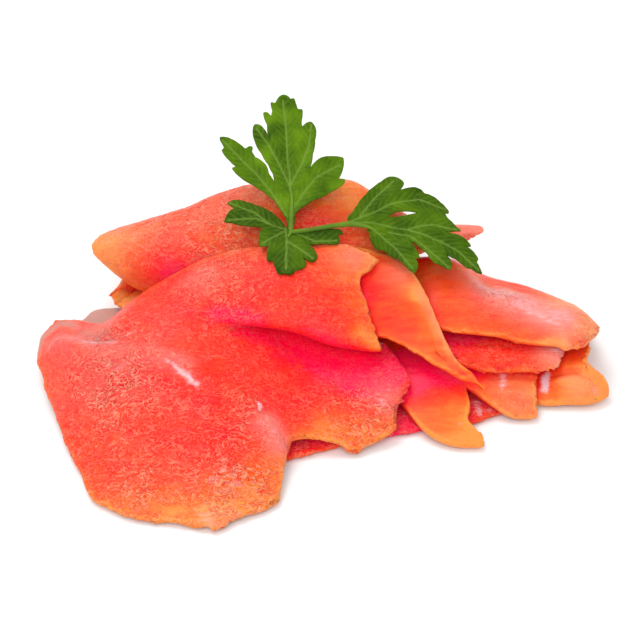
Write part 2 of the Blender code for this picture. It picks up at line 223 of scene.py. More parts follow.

# %% The flesh material
# From crimson, which is also painted shade, to a pale orange, which is also the painted glow of lit thin edges.
FLESH_AND_SHADE_TONES = [
    (0.0, (0.97, 0.001, 0.066)), (0.2, (0.96, 0.008, 0.014)), (0.4, (0.93, 0.026, 0.008)),
    (0.6, (0.92, 0.074, 0.009)), (0.8, (0.94, 0.155, 0.017)), (1.0, (0.94, 0.290, 0.050)),
]
# The pink cast also serves as a painted sheen, and the pale fat as painted highlight streaks along crests; both are
# also the flesh's own colour. The grey fat is its own colour.
PINK_CAST_AND_SHEEN, PALE_FAT_AND_HIGHLIGHT, GREY_FAT = (0.91, 0.28, 0.25, 1), (0.90, 0.58, 0.62, 1), (0.50, 0.30, 0.25, 1)
# The thread colour is a painted highlight on the grain's threads, the gap colour a painted shade in the grooves
# between them.
THREAD_HIGHLIGHT, GAP_SHADE = (0.97, 0.46, 0.30, 1), (0.84, 0.0, 0.02, 1)


def flesh_material():
    material = bpy.data.materials.new("salmon_flesh")
    material.use_nodes = True
    tree = material.node_tree
    shader = tree.nodes["Principled BSDF"]
    lumps = maths(tree, "MULTIPLY_ADD", cloud(tree, 9 * MM, bend=0.6), 0.4, -0.18)
    streaks = maths(tree, "MULTIPLY_ADD", cloud(tree, 1.8 * MM, stretch=(6, 1, 1), bend=0.3), 0.36, -0.18)
    # the painted tone: the flesh's colour with painted shade and glow in it
    tone_with_painted_light = maths(tree, "ADD", maths(tree, "ADD", painted(tree, "tone_with_painted_light"), lumps), streaks, clamp=True)
    colour = ramp(tree, tone_with_painted_light, FLESH_AND_SHADE_TONES)
    patches = maths(tree, "MULTIPLY_ADD", cloud(tree, 6 * MM, detail=2), 3.0, -0.65, clamp=True)
    grain = maths(tree, "MULTIPLY", patches, painted(tree, "grain"))
    coarse = cloud(tree, 3.2 * MM, stretch=(1.4, 1, 1), detail=1, bend=2.0)
    fine = cloud(tree, 1.9 * MM, stretch=(1.3, 1, 1), detail=1, bend=1.6)
    # painted highlight on the grain's threads and painted shade in its gaps, as if lit from one side; the same lines
    # also drive the bump
    thread_highlight = maths(tree, "MAXIMUM", winding_line(tree, coarse, 0.50, 0.05), winding_line(tree, fine, 0.51, 0.05))
    gap_in_shade = maths(tree, "MAXIMUM", winding_line(tree, coarse, 0.43, 0.05), winding_line(tree, fine, 0.435, 0.045))
    streaky = maths(tree, "MULTIPLY_ADD", streaks, 2.5, 1.0)
    # the pink cast, which also paints a sheen on crests and on the right slice's top
    colour = mixed(tree, maths(tree, "MULTIPLY", painted(tree, "pink_and_sheen"), streaky, clamp=True), colour, PINK_CAST_AND_SHEEN)
    colour = mixed(tree, maths(tree, "MULTIPLY", gap_in_shade, grain), colour, GAP_SHADE, "MULTIPLY")
    colour = mixed(tree, maths(tree, "MULTIPLY", maths(tree, "MULTIPLY", thread_highlight, grain), 0.7), colour, THREAD_HIGHLIGHT)
    # bits of pale fat, and painted highlight streaks along the crests
    bits = maths(tree, "MULTIPLY_ADD", cloud(tree, 1.4 * MM, stretch=(3, 1, 1), detail=3, bend=0.8), 1.8, -0.9)
    fat_and_highlight = maths(tree, "MULTIPLY_ADD", maths(tree, "ADD", painted(tree, "fat_and_highlight"), bits), 1.7, -0.55, clamp=True)
    colour = mixed(tree, maths(tree, "MULTIPLY", fat_and_highlight, maths(tree, "MINIMUM", painted(tree, "fat_and_highlight"), 1.0)), colour, PALE_FAT_AND_HIGHLIGHT)
    colour = mixed(tree, painted(tree, "grey"), colour, GREY_FAT)
    tree.links.new(colour, shader.inputs["Base Color"])
    tree.links.new(maths(tree, "MULTIPLY_ADD", cloud(tree, 6 * MM, detail=2), 0.3, 0.18), shader.inputs["Roughness"])
    height = maths(tree, "MULTIPLY", maths(tree, "MULTIPLY_ADD", gap_in_shade, -0.8, thread_highlight), grain)
    height = maths(tree, "ADD", height, maths(tree, "MULTIPLY", cloud(tree, 1.2 * MM, stretch=(7, 1, 1)), 0.7))
    height = maths(tree, "ADD", height, maths(tree, "MULTIPLY", cloud(tree, 0.7 * MM), 0.4))
    bump = node(tree, "ShaderNodeBump")
    bump.inputs["Strength"].default_value = 0.7
    bump.inputs["Distance"].default_value = 0.33 * MM
    tree.links.new(height, bump.inputs["Height"])
    tree.links.new(bump.outputs["Normal"], shader.inputs["Normal"])
    shader.inputs["Specular IOR Level"].default_value = 0.17
    shader.inputs["Subsurface Weight"].default_value = 0.4
    shader.inputs["Subsurface Radius"].default_value = (1.0, 0.22, 0.12)
    shader.inputs["Subsurface Scale"].default_value = 1.8 * MM
    shader.inputs["Coat Weight"].default_value = 0.05
    shader.inputs["Coat Roughness"].default_value = 0.2
    return material


flesh = flesh_material()
print("flesh material:", len(flesh.node_tree.nodes), "nodes")

# %% [markdown]
# ## From a plain solid to a smooth slice
#
# The plain solid is a copy of triangles that aren't joined. Merging its corners and pairing its
# triangles into four-sided faces gives a cage that Subdivision Surface can round: on triangles
# it would leave dents. The cage's narrow faces are the slice's cut edge. They are marked before
# the subdivision, and the mark is spread with it, so that the fine mesh knows its edge too.

# %% Cage and fine mesh
CUT_EDGE_WIDTH = 2.0 * MM      # the plain solids' edges are about 1.3 mm thick
SHARP = math.radians(45)
EDGE_CREASE = 0.6
FINENESS = 3                   # rounds of subdivision
FEW_FACES = 200                # a cage with fewer faces than this takes one more round


def cage_of(name):
    bm = bmesh.new()
    bm.from_mesh(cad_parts[name].data)
    bmesh.ops.remove_doubles(bm, verts=bm.verts[:], dist=1e-6)
    bmesh.ops.join_triangles(
        bm, faces=bm.faces[:], angle_face_threshold=math.pi, angle_shape_threshold=math.pi, topology_influence=1.0
    )
    edge_mark = bm.verts.layers.float.new("cut_edge")
    crease = bm.edges.layers.float.new("crease_edge")
    for face in bm.faces:
        narrow = min(edge.calc_length() for edge in face.edges) < CUT_EDGE_WIDTH
        corners = [edge for edge in face.edges if edge.calc_face_angle(0) > SHARP]
        if narrow and len(corners) >= 2:
            for vert in face.verts:
                vert[edge_mark] = 1.0
            for edge in corners:
                edge[crease] = EDGE_CREASE
    return bm


def fine_mesh_of(name):
    bm = cage_of(name)
    mesh = bpy.data.meshes.new(name)
    bm.to_mesh(mesh)
    bm.free()
    cage = bpy.data.objects.new(name + "_cage", mesh)
    bpy.context.scene.collection.objects.link(cage)
    rounder = cage.modifiers.new("round", "SUBSURF")
    rounder.levels = rounder.render_levels = FINENESS + (len(mesh.polygons) < FEW_FACES)
    fine = bpy.data.meshes.new_from_object(cage.evaluated_get(bpy.context.evaluated_depsgraph_get()))
    bpy.data.objects.remove(cage)
    bpy.data.meshes.remove(mesh)
    return fine


print("a slice's mesh is subdivided", FINENESS, "times")

# %% [markdown]
# ## Where on the slice is each point?
#
# Two things about a point decide its colour and its shape. One is its distance from the cut
# edge, which also sets a painted glow along the edge. It is handed on from neighbour to
# neighbour over the skin: a plain search through space would jump from one fold to the next,
# where the slice lies on itself. The other is how much of its sky the rest of the pile hides,
# which a few rays find. A hidden place is painted a deeper red: painted shade, standing in for
# the light that reaches it only through flesh.

# %% Distance from the cut edge
def numbers(mesh, items, key, width):
    values = np.empty(len(items) * width, np.float32 if key != "vertices" else np.int32)
    items.foreach_get(key, values)
    return values.reshape(-1, width)


def smoothed(values, start, end, rounds):
    """The values, each mixed with its neighbours' again and again."""
    count = np.bincount(end, minlength=len(values)) + 1
    for _ in range(rounds):
        total = values + np.bincount(end, weights=values[start], minlength=len(values))
        values = total / count
    return values


def from_cut_edge(points, start, end, marked, rounds=34):
    """Each point's distance to the cut edge, and the direction from the point to it."""
    source = np.where(marked, np.arange(len(points)), -1)
    distance = np.where(marked, 0.0, np.inf)
    for _ in range(rounds):
        trial = np.linalg.norm(points[end] - points[source[start]], axis=1)
        trial[source[start] < 0] = np.inf
        best = distance.copy()
        np.minimum.at(best, end, trial)
        better = (trial <= best[end]) & (trial < distance[end])
        source[end[better]] = source[start[better]]
        distance = best
    outward = np.zeros_like(points)
    inside = (distance > 0) & np.isfinite(distance)
    outward[inside] = (points[source[inside]] - points[inside]) / distance[inside, None]
    for _ in range(3):
        spread = outward.copy()
        np.add.at(spread, end, outward[start])
        length = np.linalg.norm(spread, axis=1)
        outward = spread / np.maximum(length, 1e-9)[:, None]
    return distance, outward


print("distances are measured along the skin")

# %% Hidden sky
RAYS = 8
RAY_REACH = 16 * MM
RAY_LEAN = math.radians(50)
GOLDEN_TURN = math.pi * (3 - math.sqrt(5))


def hidden_sky(points, normals, tree):
    """The share of each point's sky that the pile hides, near things counting most."""
    hidden = np.zeros(len(points))
    for i, (point, normal) in enumerate(zip(points, normals)):
        normal = Vector(normal)
        aside = normal.orthogonal().normalized()
        across = normal.cross(aside)
        origin = Vector(point) + normal * 0.1 * MM
        for ray in range(RAYS):
            turn = 2 * math.pi * ray / RAYS + i * GOLDEN_TURN
            lean = RAY_LEAN * (0.4 + 0.6 * (ray % 2))
            ahead = normal * math.cos(lean) + (aside * math.cos(turn) + across * math.sin(turn)) * math.sin(lean)
            distance = tree.ray_cast(origin, ahead, RAY_REACH)[3]
            if distance is not None:
                hidden[i] += (1 - distance / RAY_REACH) / RAYS
    return hidden


print(RAYS, "rays a point, each up to", round(RAY_REACH / MM), "mm long")

# %% [markdown]
# ## Tears, fibres and grain
#
# A sharp knife still drags soft fish: its cut edge is nibbled and thins out. The faces carry
# shallow grooves along the fibres and, where the knife crossed them, a fine grain. All of this
# is noise added to the points themselves, so that it also shows in the outline. A few larger
# nicks and tabs are listed one by one, since every slice has its own.

# %% Relief
TEAR_REACH = 3.5 * MM


def noise_at(points, size, seed, stretch=(1, 1, 1)):
    scale = Vector([1 / (size * s) for s in stretch])
    shift = Vector((seed * 7.1, seed * 3.7, seed * 5.3))
    return np.array([noise.noise(Vector(p) * scale + shift) for p in points])


def distance_to(points, path):
    """How far each point is from a place, or from a path of places, all in millimetres."""
    places = np.array(path if isinstance(path, list) else [path, path], float)
    away = np.full(len(points), np.inf)
    for a, b in zip(places, places[1:]):
        along = (points / MM - a) @ (b - a) / max((b - a) @ (b - a), 1e-9)
        nearest = a + np.clip(along, 0, 1)[:, None] * (b - a)
        away = np.minimum(away, np.linalg.norm(points / MM - nearest, axis=1))
    return away


def dabbed(points, base, dabs):
    """A value for each point: the base, with dabs of (place or path, reach, value) over it."""
    values = np.full(len(points), float(base))
    for place, reach, value in dabs:
        values += (value - values) * np.exp(-((distance_to(points, place) / reach) ** 2))
    return values


def heaped(points, dabs):
    """The sum of the dabs, for heights that add up."""
    return sum((value * np.exp(-((distance_to(points, place) / reach) ** 2)) for place, reach, value in dabs), 0 * points[:, 0])


def relief(points, normals, distance, outward, look, seed):
    near = np.exp(-((distance / TEAR_REACH) ** 2))
    tears = noise_at(points, 6 * MM, seed) * 1.5 - np.abs(noise_at(points, 2.6 * MM, seed + 1)) * 2.4 + 0.3
    tears -= np.abs(noise_at(points, 1.3 * MM, seed + 5)) * 0.9 * np.exp(-distance / MM)
    tears *= dabbed(points, *look["ragged"])
    tears += heaped(points, look.get("nicks", []))
    moved = points + outward * (near * tears * MM)[:, None]
    for place, reach, move in look.get("pulls", []):
        share = np.exp(-((distance_to(points, place) / reach) ** 2))
        moved += share[:, None] * np.array(move) * MM
    lumps = noise_at(points, 10 * MM, seed + 2) * 0.45
    fibres = noise_at(points, 2.4 * MM, seed + 3, (7, 1, 1)) * 0.16
    warped = points + np.array([noise.noise_vector(Vector(p) / (3 * MM)) for p in points]) * 1.2 * MM
    wrinkles = 0.3 - np.abs(noise_at(warped, 2.6 * MM, seed + 4, (1.5, 1, 1))) * 1.5
    wrinkles *= dabbed(points, *look["grain"]) * 0.75
    height = (lumps + fibres + wrinkles) * (1 - 0.6 * near) + heaped(points, look.get("swells", []))
    moved += normals * (height * MM)[:, None]
    moved[:, 2] = np.maximum(moved[:, 2], 0)
    return moved


print("relief is ready")

# %% [markdown]
# ## How each slice looks
#
# Each value below is a base and a list of dabs. A dab is a place on the slice, how far it
# reaches and the value there, all in millimetres in the pile's own frame. The tone's dabs hold
# the flesh's own colour, and their low values also painted shade, where a fold or an overhang
# shades the flesh. The pink and the pale fat also paint sheen and highlight streaks on crests.
# Each cut edge is also painted more orange, by its edge value: a painted glow for the light
# that a thin edge lets through.

# %% The slices' looks
LOOKS = {
    "bottom_slice": dict(
        tone_with_painted_light=(0.16, [((52, -12, 2), 9, 0.5), ((-6, -36, 2), 14, 0.3), ((25, -29, 2), 10, -0.4)]), edge=0.1,
        grain=(0.5, []), ragged=(0.5, []), fat_and_highlight=(0, [([(47, -17, 3), (48, -22, 2.5)], 1.2, 0.9), ((51, -20, 2.5), 1.5, 0.7), ((-5, -34, 2.6), 3, 0.3)]),
    ),
    "left_slice": dict(
        tone_with_painted_light=(0.3, []), edge=0.1, grain=(0.2, []), ragged=(0.3, []), grey=(0.9, []),
    ),
    "inner_slice": dict(
        tone_with_painted_light=(0.6, [((-62, 20, 9), 10, 0.95)]), edge=0.3, grain=(0.4, []), ragged=(1.0, []),
    ),
    "lower_slice": dict(
        tone_with_painted_light=(0.45, [
            ((38, -26, 5.5), 8, 0.72), ((44, -32, 2), 7, 0.92), ((60, -18, 3), 8, 0.75), ((54, -13, 5), 6, 0.7),
            # painted shade: low tone where the slices above overhang this one
            ((30, -9, 9), 9, -0.3), ((40, -9, 8), 8, -0.2), ((24, -12, 7), 8, -0.4),
        ]),
        edge=0.2, grain=(0.1, [((60, -16, 4), 9, 0.35)]), ragged=(0.5, [((62, -16, 3), 8, 1.0)]),
        pink_and_sheen=(0, [((60, -17, 3), 7, 0.25), ((54, -13, 5), 4, 0.2)]),
        fat_and_highlight=(0, [([(40, -27, 5), (44, -32, 2.5)], 1.0, 0.5), ([(55.5, -11.5, 8.2), (55, -15, 6.8)], 1.6, 0.8)]),
        nicks=[((48, -33, 2.5), 2.5, 1.4)], pulls=[((45.1, -27, 4.5), 3.2, (-2.2, -0.6, 0))],
    ),
    "side_slice": dict(
        tone_with_painted_light=(0.6, [
            ((77, -13, 7), 6, 0.9), ((86, -8, 6), 6, 1.0), ((80, -3, 9), 6, 0.62), ((70, -15, 4), 4, 0.6),
            ([(71, -10, 8), (77, -9.5, 8), (83, -12, 6)], 1.2, 0.55),
        ]),
        edge=0.3, grain=(0.1, [((86, -8, 6), 6, 0.4)]), ragged=(0.7, [((86, -8, 5), 7, 1.4)]),
        pink_and_sheen=(0, [([(74, -12, 7), (79, -12.5, 6.5), (83, -14.5, 5)], 1.4, 0.6), ((78, -14.5, 6), 4, 0.3)]),
        fat_and_highlight=(0, [([(68.5, -8, 8), (68.5, -13.5, 4)], 1.7, 1.3)]),
        nicks=[((88, -12, 3), 2.5, -0.8)], pulls=[((83.4, -5, 9.5), 3.5, (-2.2, 0, 0))],
        swells=[([(73, -14, 6), (79, -14.5, 5.5)], 3.2, 1.8), ([(71, -9.5, 8), (77, -9, 8), (84, -12, 6)], 1.6, -0.9)],
    ),
    "mid_slice": dict(
        tone_with_painted_light=(0.55, [((42, 0, 12), 9, 0.0), ((56, -4, 12), 8, 0.45), ((72, -3, 11.5), 6, 0.8), ((57, -10, 11.5), 5, 0.3)]),
        edge=0.06, grain=(0.3, []), ragged=(1.3, [((74, -3, 11), 7, 1.5)]), pink_and_sheen=(0, [((72, -4, 11.5), 6, 0.9)]),
        fat_and_highlight=(0, [((72, -2, 12), 4, 0.75)]),
    ),
    "right_slice": dict(
        tone_with_painted_light=(0.5, [
            ((34, 2, 20), 12, 0.45), ((46, 18, 26), 12, 0.62), ((60, -1, 16), 7, 0.5), ((83, 4, 14), 9, 1.1),
            ((76, 14, 18), 9, 0.95), ((79, -4, 14.5), 4, 0.55), ((72, -5, 14.5), 4, 0.8),
        ]),
        edge=0.2, grain=(0.1, [((56, 12, 22), 8, 0.9), ((84, 4, 14), 8, 0.6)]),
        ragged=(0.6, [((84, 2, 14), 9, 1.6)]),
        # pink and pale fat here are partly silvery tissue and partly a painted sheen on the slice's top
        pink_and_sheen=(0, [
            ([(54, 14, 23), (62, 10, 20), (74, 5, 18)], 7, 1.2), ((84, 3, 14), 6, 0.35), ((70, 12, 19), 6, 0.5),
            ([(74, 0, 17), (75, -4, 14)], 1.5, 0.7),
        ]),
        fat_and_highlight=(0, [
            ((55, 13, 23), 3.5, 0.75), ((50, 16, 25), 3, 0.7), ([(59, 8, 20.5), (66, 5, 19), (74, 1, 17)], 1.6, 0.75),
            ([(60, 12, 21), (68, 9, 20), (75, 6, 18)], 1.4, 0.7),
            ([(56, 13, 22), (66, 8.5, 19.5), (74, 4.5, 18)], 4.5, 0.5),
        ]),
        nicks=[((88, 4, 13), 2.5, 0.8), ((86, 12, 14), 2.5, -1.0), ((66, -5, 13), 2, -1.0)],
        pulls=[((85, -5.5, 12.5), 5, (-4.5, 1.5, 1)), ((70, 16, 20), 6, (0, -0.5, -1.2)),
            ((53, 20.5, 22), 6, (0, -1, -2.8)), ((63, 20, 19), 5, (0, -0.5, -1.4))],
        swells=[([(74, 2, 17), (74.5, -5, 14)], 1.5, 0.9), ([(77, 0, 16), (78, -5, 14)], 1.8, -0.7)],
    ),
    "back_slice": dict(
        tone_with_painted_light=(0.55, [
            ((-67, 31, 25), 11, 1.0), ((-54, 30, 27), 9, 0.8), ((-36, 28, 29), 12, 0.6), ((-20, 36, 37), 14, 0.68),
            ((8, 42, 38), 18, 0.92), ((-46, 22, 21), 10, 0.0), ((0, 27, 32), 9, 0.25), ((36, 38, 32), 12, 0.6),
        ]),
        edge=0.2, grain=(0.35, [((-36, 32, 32), 20, 0.85), ((-48, 21, 19), 9, 0.1)]), ragged=(0.3, []),
        pink_and_sheen=(0, [((48, 34, 28), 7, 0.7), ([(-66, 34, 26), (-40, 36, 31), (-20, 42, 38)], 8, 0.2)]),
        pulls=[((49, 30, 26), 6, (-1.4, 1.8, 2.2))],
    ),
    "curl_slice": dict(
        tone_with_painted_light=(0.5, [
            ((22, 6, 28), 7, 0.52), ((20, -1, 19), 7, 0.4), ((14, 5, 26), 5, 0.2), ((30, 5, 27), 5, 0.9), ((35, -4, 21), 5, 0.82),
            ((42, -13, 14), 8, 0.45), ((47, -18, 12), 4, 0.3),
        ]),
        edge=0.2, grain=(0.06, []), ragged=(0.5, []), nicks=[((35, 1, 21), 1.5, -1.8), ((36, -1, 20), 1.2, 0.9)],
        pulls=[((49.5, -16, 12.5), 3, (-1.5, -2.0, -1)), ((45, -20, 10.5), 3, (1.2, 0.8, 0.5))],
        pink_and_sheen=(0, [((26, 12, 31), 6, 0.3), ([(31, 5, 27), (36, -4, 21), (41, -12, 15)], 2.0, 0.3)]),
    ),
    "front_slice": dict(
        tone_with_painted_light=(0.36, [
            ((-50, -60, 4), 14, 0.6), ((-60, -40, 8), 12, 0.45), ((-30, 13, 33), 10, 0.42), ((-42, 0, 26), 9, 0.22),
            ((8, 12, 33), 11, 0.62), ((16, 14, 30), 8, 0.8), ((13, -2, 26), 6, 0.66), ((-4, -12, 13), 15, 0.1),
            ((20, -10, 11), 12, -0.1), ((4, -35, 5), 9, 0.75), ((16, -34, 4), 9, 0.75), ((-27, -66, 3), 11, 1.05),
            ((-18, -60, 5), 9, 0.85), ((-13, -50, 5), 7, 0.75), ((-28, -36, 14), 10, 0.3), ((-38, -42, 10), 10, 0.3),
            # painted shade: the low dabs below, under the lip, at the fold's start and under the crest
            ((-18, 4, 31), 8, 0.3), ((-74, -22, 8), 9, 0.35), ([(0, -9, 12.4), (12, -16, 11), (22, -14, 11.5)], 6, -0.4), ((21.4, -5, 12.6), 6, -0.4),
            ([(12, -8, 22), (17, -8.5, 18)], 3.5, 0.85),
            ([(-66, -14, 15), (-55, -21, 17), (-43, -27, 17), (-34, -32, 14)], 3.5, 0.2),
            ((-40, -66, 2), 8, 0.85), ((-8, -16, 13), 10, 0.1), ((-60, -62, 2), 6, 0.7),
            ([(-28, -6, 23.3), (-24, -5, 22.3), (-14, -5, 17)], 4.5, 0.05), ([(-31, -3.5, 26), (-24, -5.2, 25.2), (-19, -6.3, 24.5)], 3.5, -0.15),
            ([(-27, -18, 19.5), (-18, -22, 15), (-8, -20, 12)], 6, 0.33),
        ]),
        edge=0.15,
        grain=(0.28, [
            ((12, -14, 11), 9, 0.0), ((-60, -24, 14), 16, 1.2), ((-48, -58, 6), 14, 0.9), ((-30, 10, 32), 14, 0.85), ((-34, -45, 9), 8, 0.35),
            ((-22, -57, 6), 11, 1.2), ((12, -28, 8), 12, 0.9), ((-2, -8, 14), 12, 0.1), ((-66, -6, 19), 9, 1.1),
            ((-24, -36, 14), 8, 0.9), ((-40, -12, 22), 9, 0.3),
        ]),
        ragged=(0.5, [([(18, 10, 33), (16, -2, 26), (16, -9, 20)], 4, 0.9), ((6, -36, 4), 16, 1.3), ((24, -24, 7), 10, 1.5), ((-28, -66, 2), 14, 0.9)]),
        pink_and_sheen=(0, [
            ((-64, -18, 15), 16, 0.2), ((-36, 10, 31), 6, 0.4), ([(-15, -37, 12), (-12, -42, 8)], 4, 0.8),
            ((20, -23, 9), 6, 0.4), ((10, 14, 34), 5, 0.4), ([(-80, 2, 12), (-66, -9, 18)], 5, 0.5),
            ([(-62, -14, 18), (-50, -17, 21), (-40, -22, 22)], 3.5, 0.45), ((-27, -68, 2), 6, 0.25),
        ]),
        fat_and_highlight=(0, [
            # painted highlight: the paths along the lobe's crest paint its pale streak
            ([(-45.5, -19.6, 21.5), (-43.8, -20.9, 21.4), (-41.5, -23.1, 20.9)], 0.9, 1.9),
            ([(-41.5, -23.1, 20.9), (-38.5, -26, 20), (-36, -28, 19)], 1.5, 0.95),
            ([(-20, -30.6, 14), (-18, -31, 13.4), (-18, -34.2, 12.4), (-15.6, -35.6, 11.3)], 1.0, 1.7),
            ((-14, -40, 9), 2.5, 0.9), ((18, -24, 9), 5, 0.5), ((-26, -56, 6), 8, 0.45), ((-31, -68, 2), 5, 0.5),
            ([(-69, -5, 17.5), (-64, 1, 20)], 2.0, 0.8), ([(-72, -5, 16), (-62, -8, 19), (-56, -6, 22)], 1.3, 0.7),
            ([(-60, -18, 17), (-56, -17, 19), (-50, -19, 20)], 1.2, 0.6),
        ]),
        grey=(0, [
            ([(-87.6, 1, 6.5), (-86.7, 7.3, 8), (-81.3, 13.2, 9.7), (-77.8, 10.6, 11.4), (-72.5, 4.5, 15)], 1.8, 0.75),
            ([(-72.5, 4.5, 15), (-67.5, -1, 18)], 3.0, 0.4),
        ]),
        nicks=[
            ((-28, -69, 1.5), 4, 2.0), ((21.5, -31, 4), 2, -1.8), ((-5, -33.4, 2), 1.6, 2.2), ((9.7, -37.7, 1.5), 2.5, 1.4),
            ((-12, -60, 2), 3, -1.0), ((24, -22, 7), 1.6, 1.4), ((-45, -68, 1), 3, 0.8), ((0, -36, 3), 2.2, -1.4),
        ],
        pulls=[((20, 13, 34), 4, (-2.2, 0.3, -0.6)), ((26, -18, 10), 3, (-0.8, 0, 0))],
        swells=[
            ([(-80, -1, 12), (-70.6, -9.5, 16.8), (-62, -14, 18), (-50, -16, 21.4), (-42, -20, 22),
              (-33, -26, 19), (-22, -31, 14), (-14, -41, 9)], 3.0, 1.8),
            ([(-75, 5, 14), (-69.5, -3, 17.5), (-60, -8, 21)], 4.0, -1.8),
            ([(-70, -20, 12), (-50, -25, 18), (-36, -32, 16)], 4.0, -0.9),
        ],
    ),
}
print(len(LOOKS), "slices to paint")

# %% Make every slice
# A painted glow on cut edges: lighter and more orange, faint over EDGE_GLOW and strong on a thin rim, none where the
# sky is hidden.
EDGE_GLOW = 4.5 * MM
THIN_GLOWING_RIM = 0.9 * MM
# SHADE is painted shade: how far a hidden place is painted towards crimson.
SHADE = 0.5                    # how far a wholly hidden place falls in tone
OPEN_ENOUGH = 0.08             # a share of hidden sky that doesn't count yet


def paint(mesh, name, values):
    layer = mesh.attributes.new(name, "FLOAT", "POINT")
    layer.data.foreach_set("value", values.astype(np.float32))


def shape_slice(name, seed):
    """The slice's fine mesh, and what is known about each of its points."""
    look = LOOKS[name]
    mesh = fine_mesh_of(name)
    points = numbers(mesh, mesh.vertices, "co", 3).astype(float)
    edges = numbers(mesh, mesh.edges, "vertices", 2)
    start, end = np.concatenate([edges[:, 0], edges[:, 1]]), np.concatenate([edges[:, 1], edges[:, 0]])
    normals = numbers(mesh, mesh.vertices, "normal", 3).astype(float)
    marks = np.empty(len(points), np.float32)
    mesh.attributes["cut_edge"].data.foreach_get("value", marks)
    mesh.attributes.remove(mesh.attributes["cut_edge"])
    distance, outward = from_cut_edge(points, start, end, marks > 0.999)
    points = relief(points, normals, distance, outward, look, seed)
    mesh.vertices.foreach_set("co", points.astype(np.float32).ravel())
    print(f"{name}: {len(mesh.polygons)} faces, cut edge {int((marks > 0.999).sum())} points")
    return dict(name=name, mesh=mesh, points=points, distance=distance, start=start, end=end)


def dress_slice(shape, pile):
    """Paints the slice and puts it in its node's place."""
    look, mesh, points, distance = LOOKS[shape["name"]], shape["mesh"], shape["points"], shape["distance"]
    normals = numbers(mesh, mesh.vertices, "normal", 3)
    hidden = smoothed(hidden_sky(points, normals, pile), shape["start"], shape["end"], 8)
    # painted shade: the tone falls where the rest of the pile hides the sky
    tone_with_painted_light = dabbed(points, *look["tone_with_painted_light"]) - SHADE * np.clip(hidden - OPEN_ENOUGH, 0, 1)
    # painted glow: thin cut edges painted more orange where they are open to the light
    painted_glow = look["edge"] * np.exp(-distance / EDGE_GLOW) + 0.2 * np.exp(-((distance / THIN_GLOWING_RIM) ** 2))
    paint(mesh, "tone_with_painted_light", tone_with_painted_light + painted_glow * (1 - hidden))
    for value in ("grain", "pink_and_sheen", "fat_and_highlight", "grey"):
        paint(mesh, value, dabbed(points, *look.get(value, (0, []))))
    mesh.materials.clear()
    mesh.materials.append(flesh)
    mesh.shade_smooth()
    piece = bpy.data.objects.new("dressed_" + shape["name"], mesh)
    bpy.context.scene.collection.objects.link(piece)
    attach(piece, "root")
    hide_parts(shape["name"])
    print(f"{shape['name']}: {hidden.mean():.0%} of its sky is hidden")


def pile_tree(shapes):
    """One search tree for all of the slices' faces."""
    bm = bmesh.new()
    for shape in shapes:
        bm.from_mesh(shape["mesh"])
    tree = BVHTree.FromBMesh(bm)
    bm.free()
    return tree


shapes = [shape_slice(name, seed) for seed, name in enumerate(LOOKS)]
pile = pile_tree(shapes)
for shape in shapes:
    dress_slice(shape, pile)

# %% [markdown]
# ## Parsley: the outline of a leaf
#
# A flat-leaf parsley leaf is cut into lobes, and each lobe ends in blunt teeth. A leaf could be a
# picture of one on a card, but its cut outline and its raised veins would be missing from the
# side. Here each blade has an outline of tips and notches in its own plane: millimetres along
# the middle vein, and millimetres across it. The sides between them bulge out a little and are
# cut into short pieces, and a touch of smoothing blunts the teeth.

# %% The leaves' outlines
BLADE_STEP = 0.5               # millimetres between points along the outline and inside it
BULGE = 0.05                   # how far a side stands out, as a share of its length

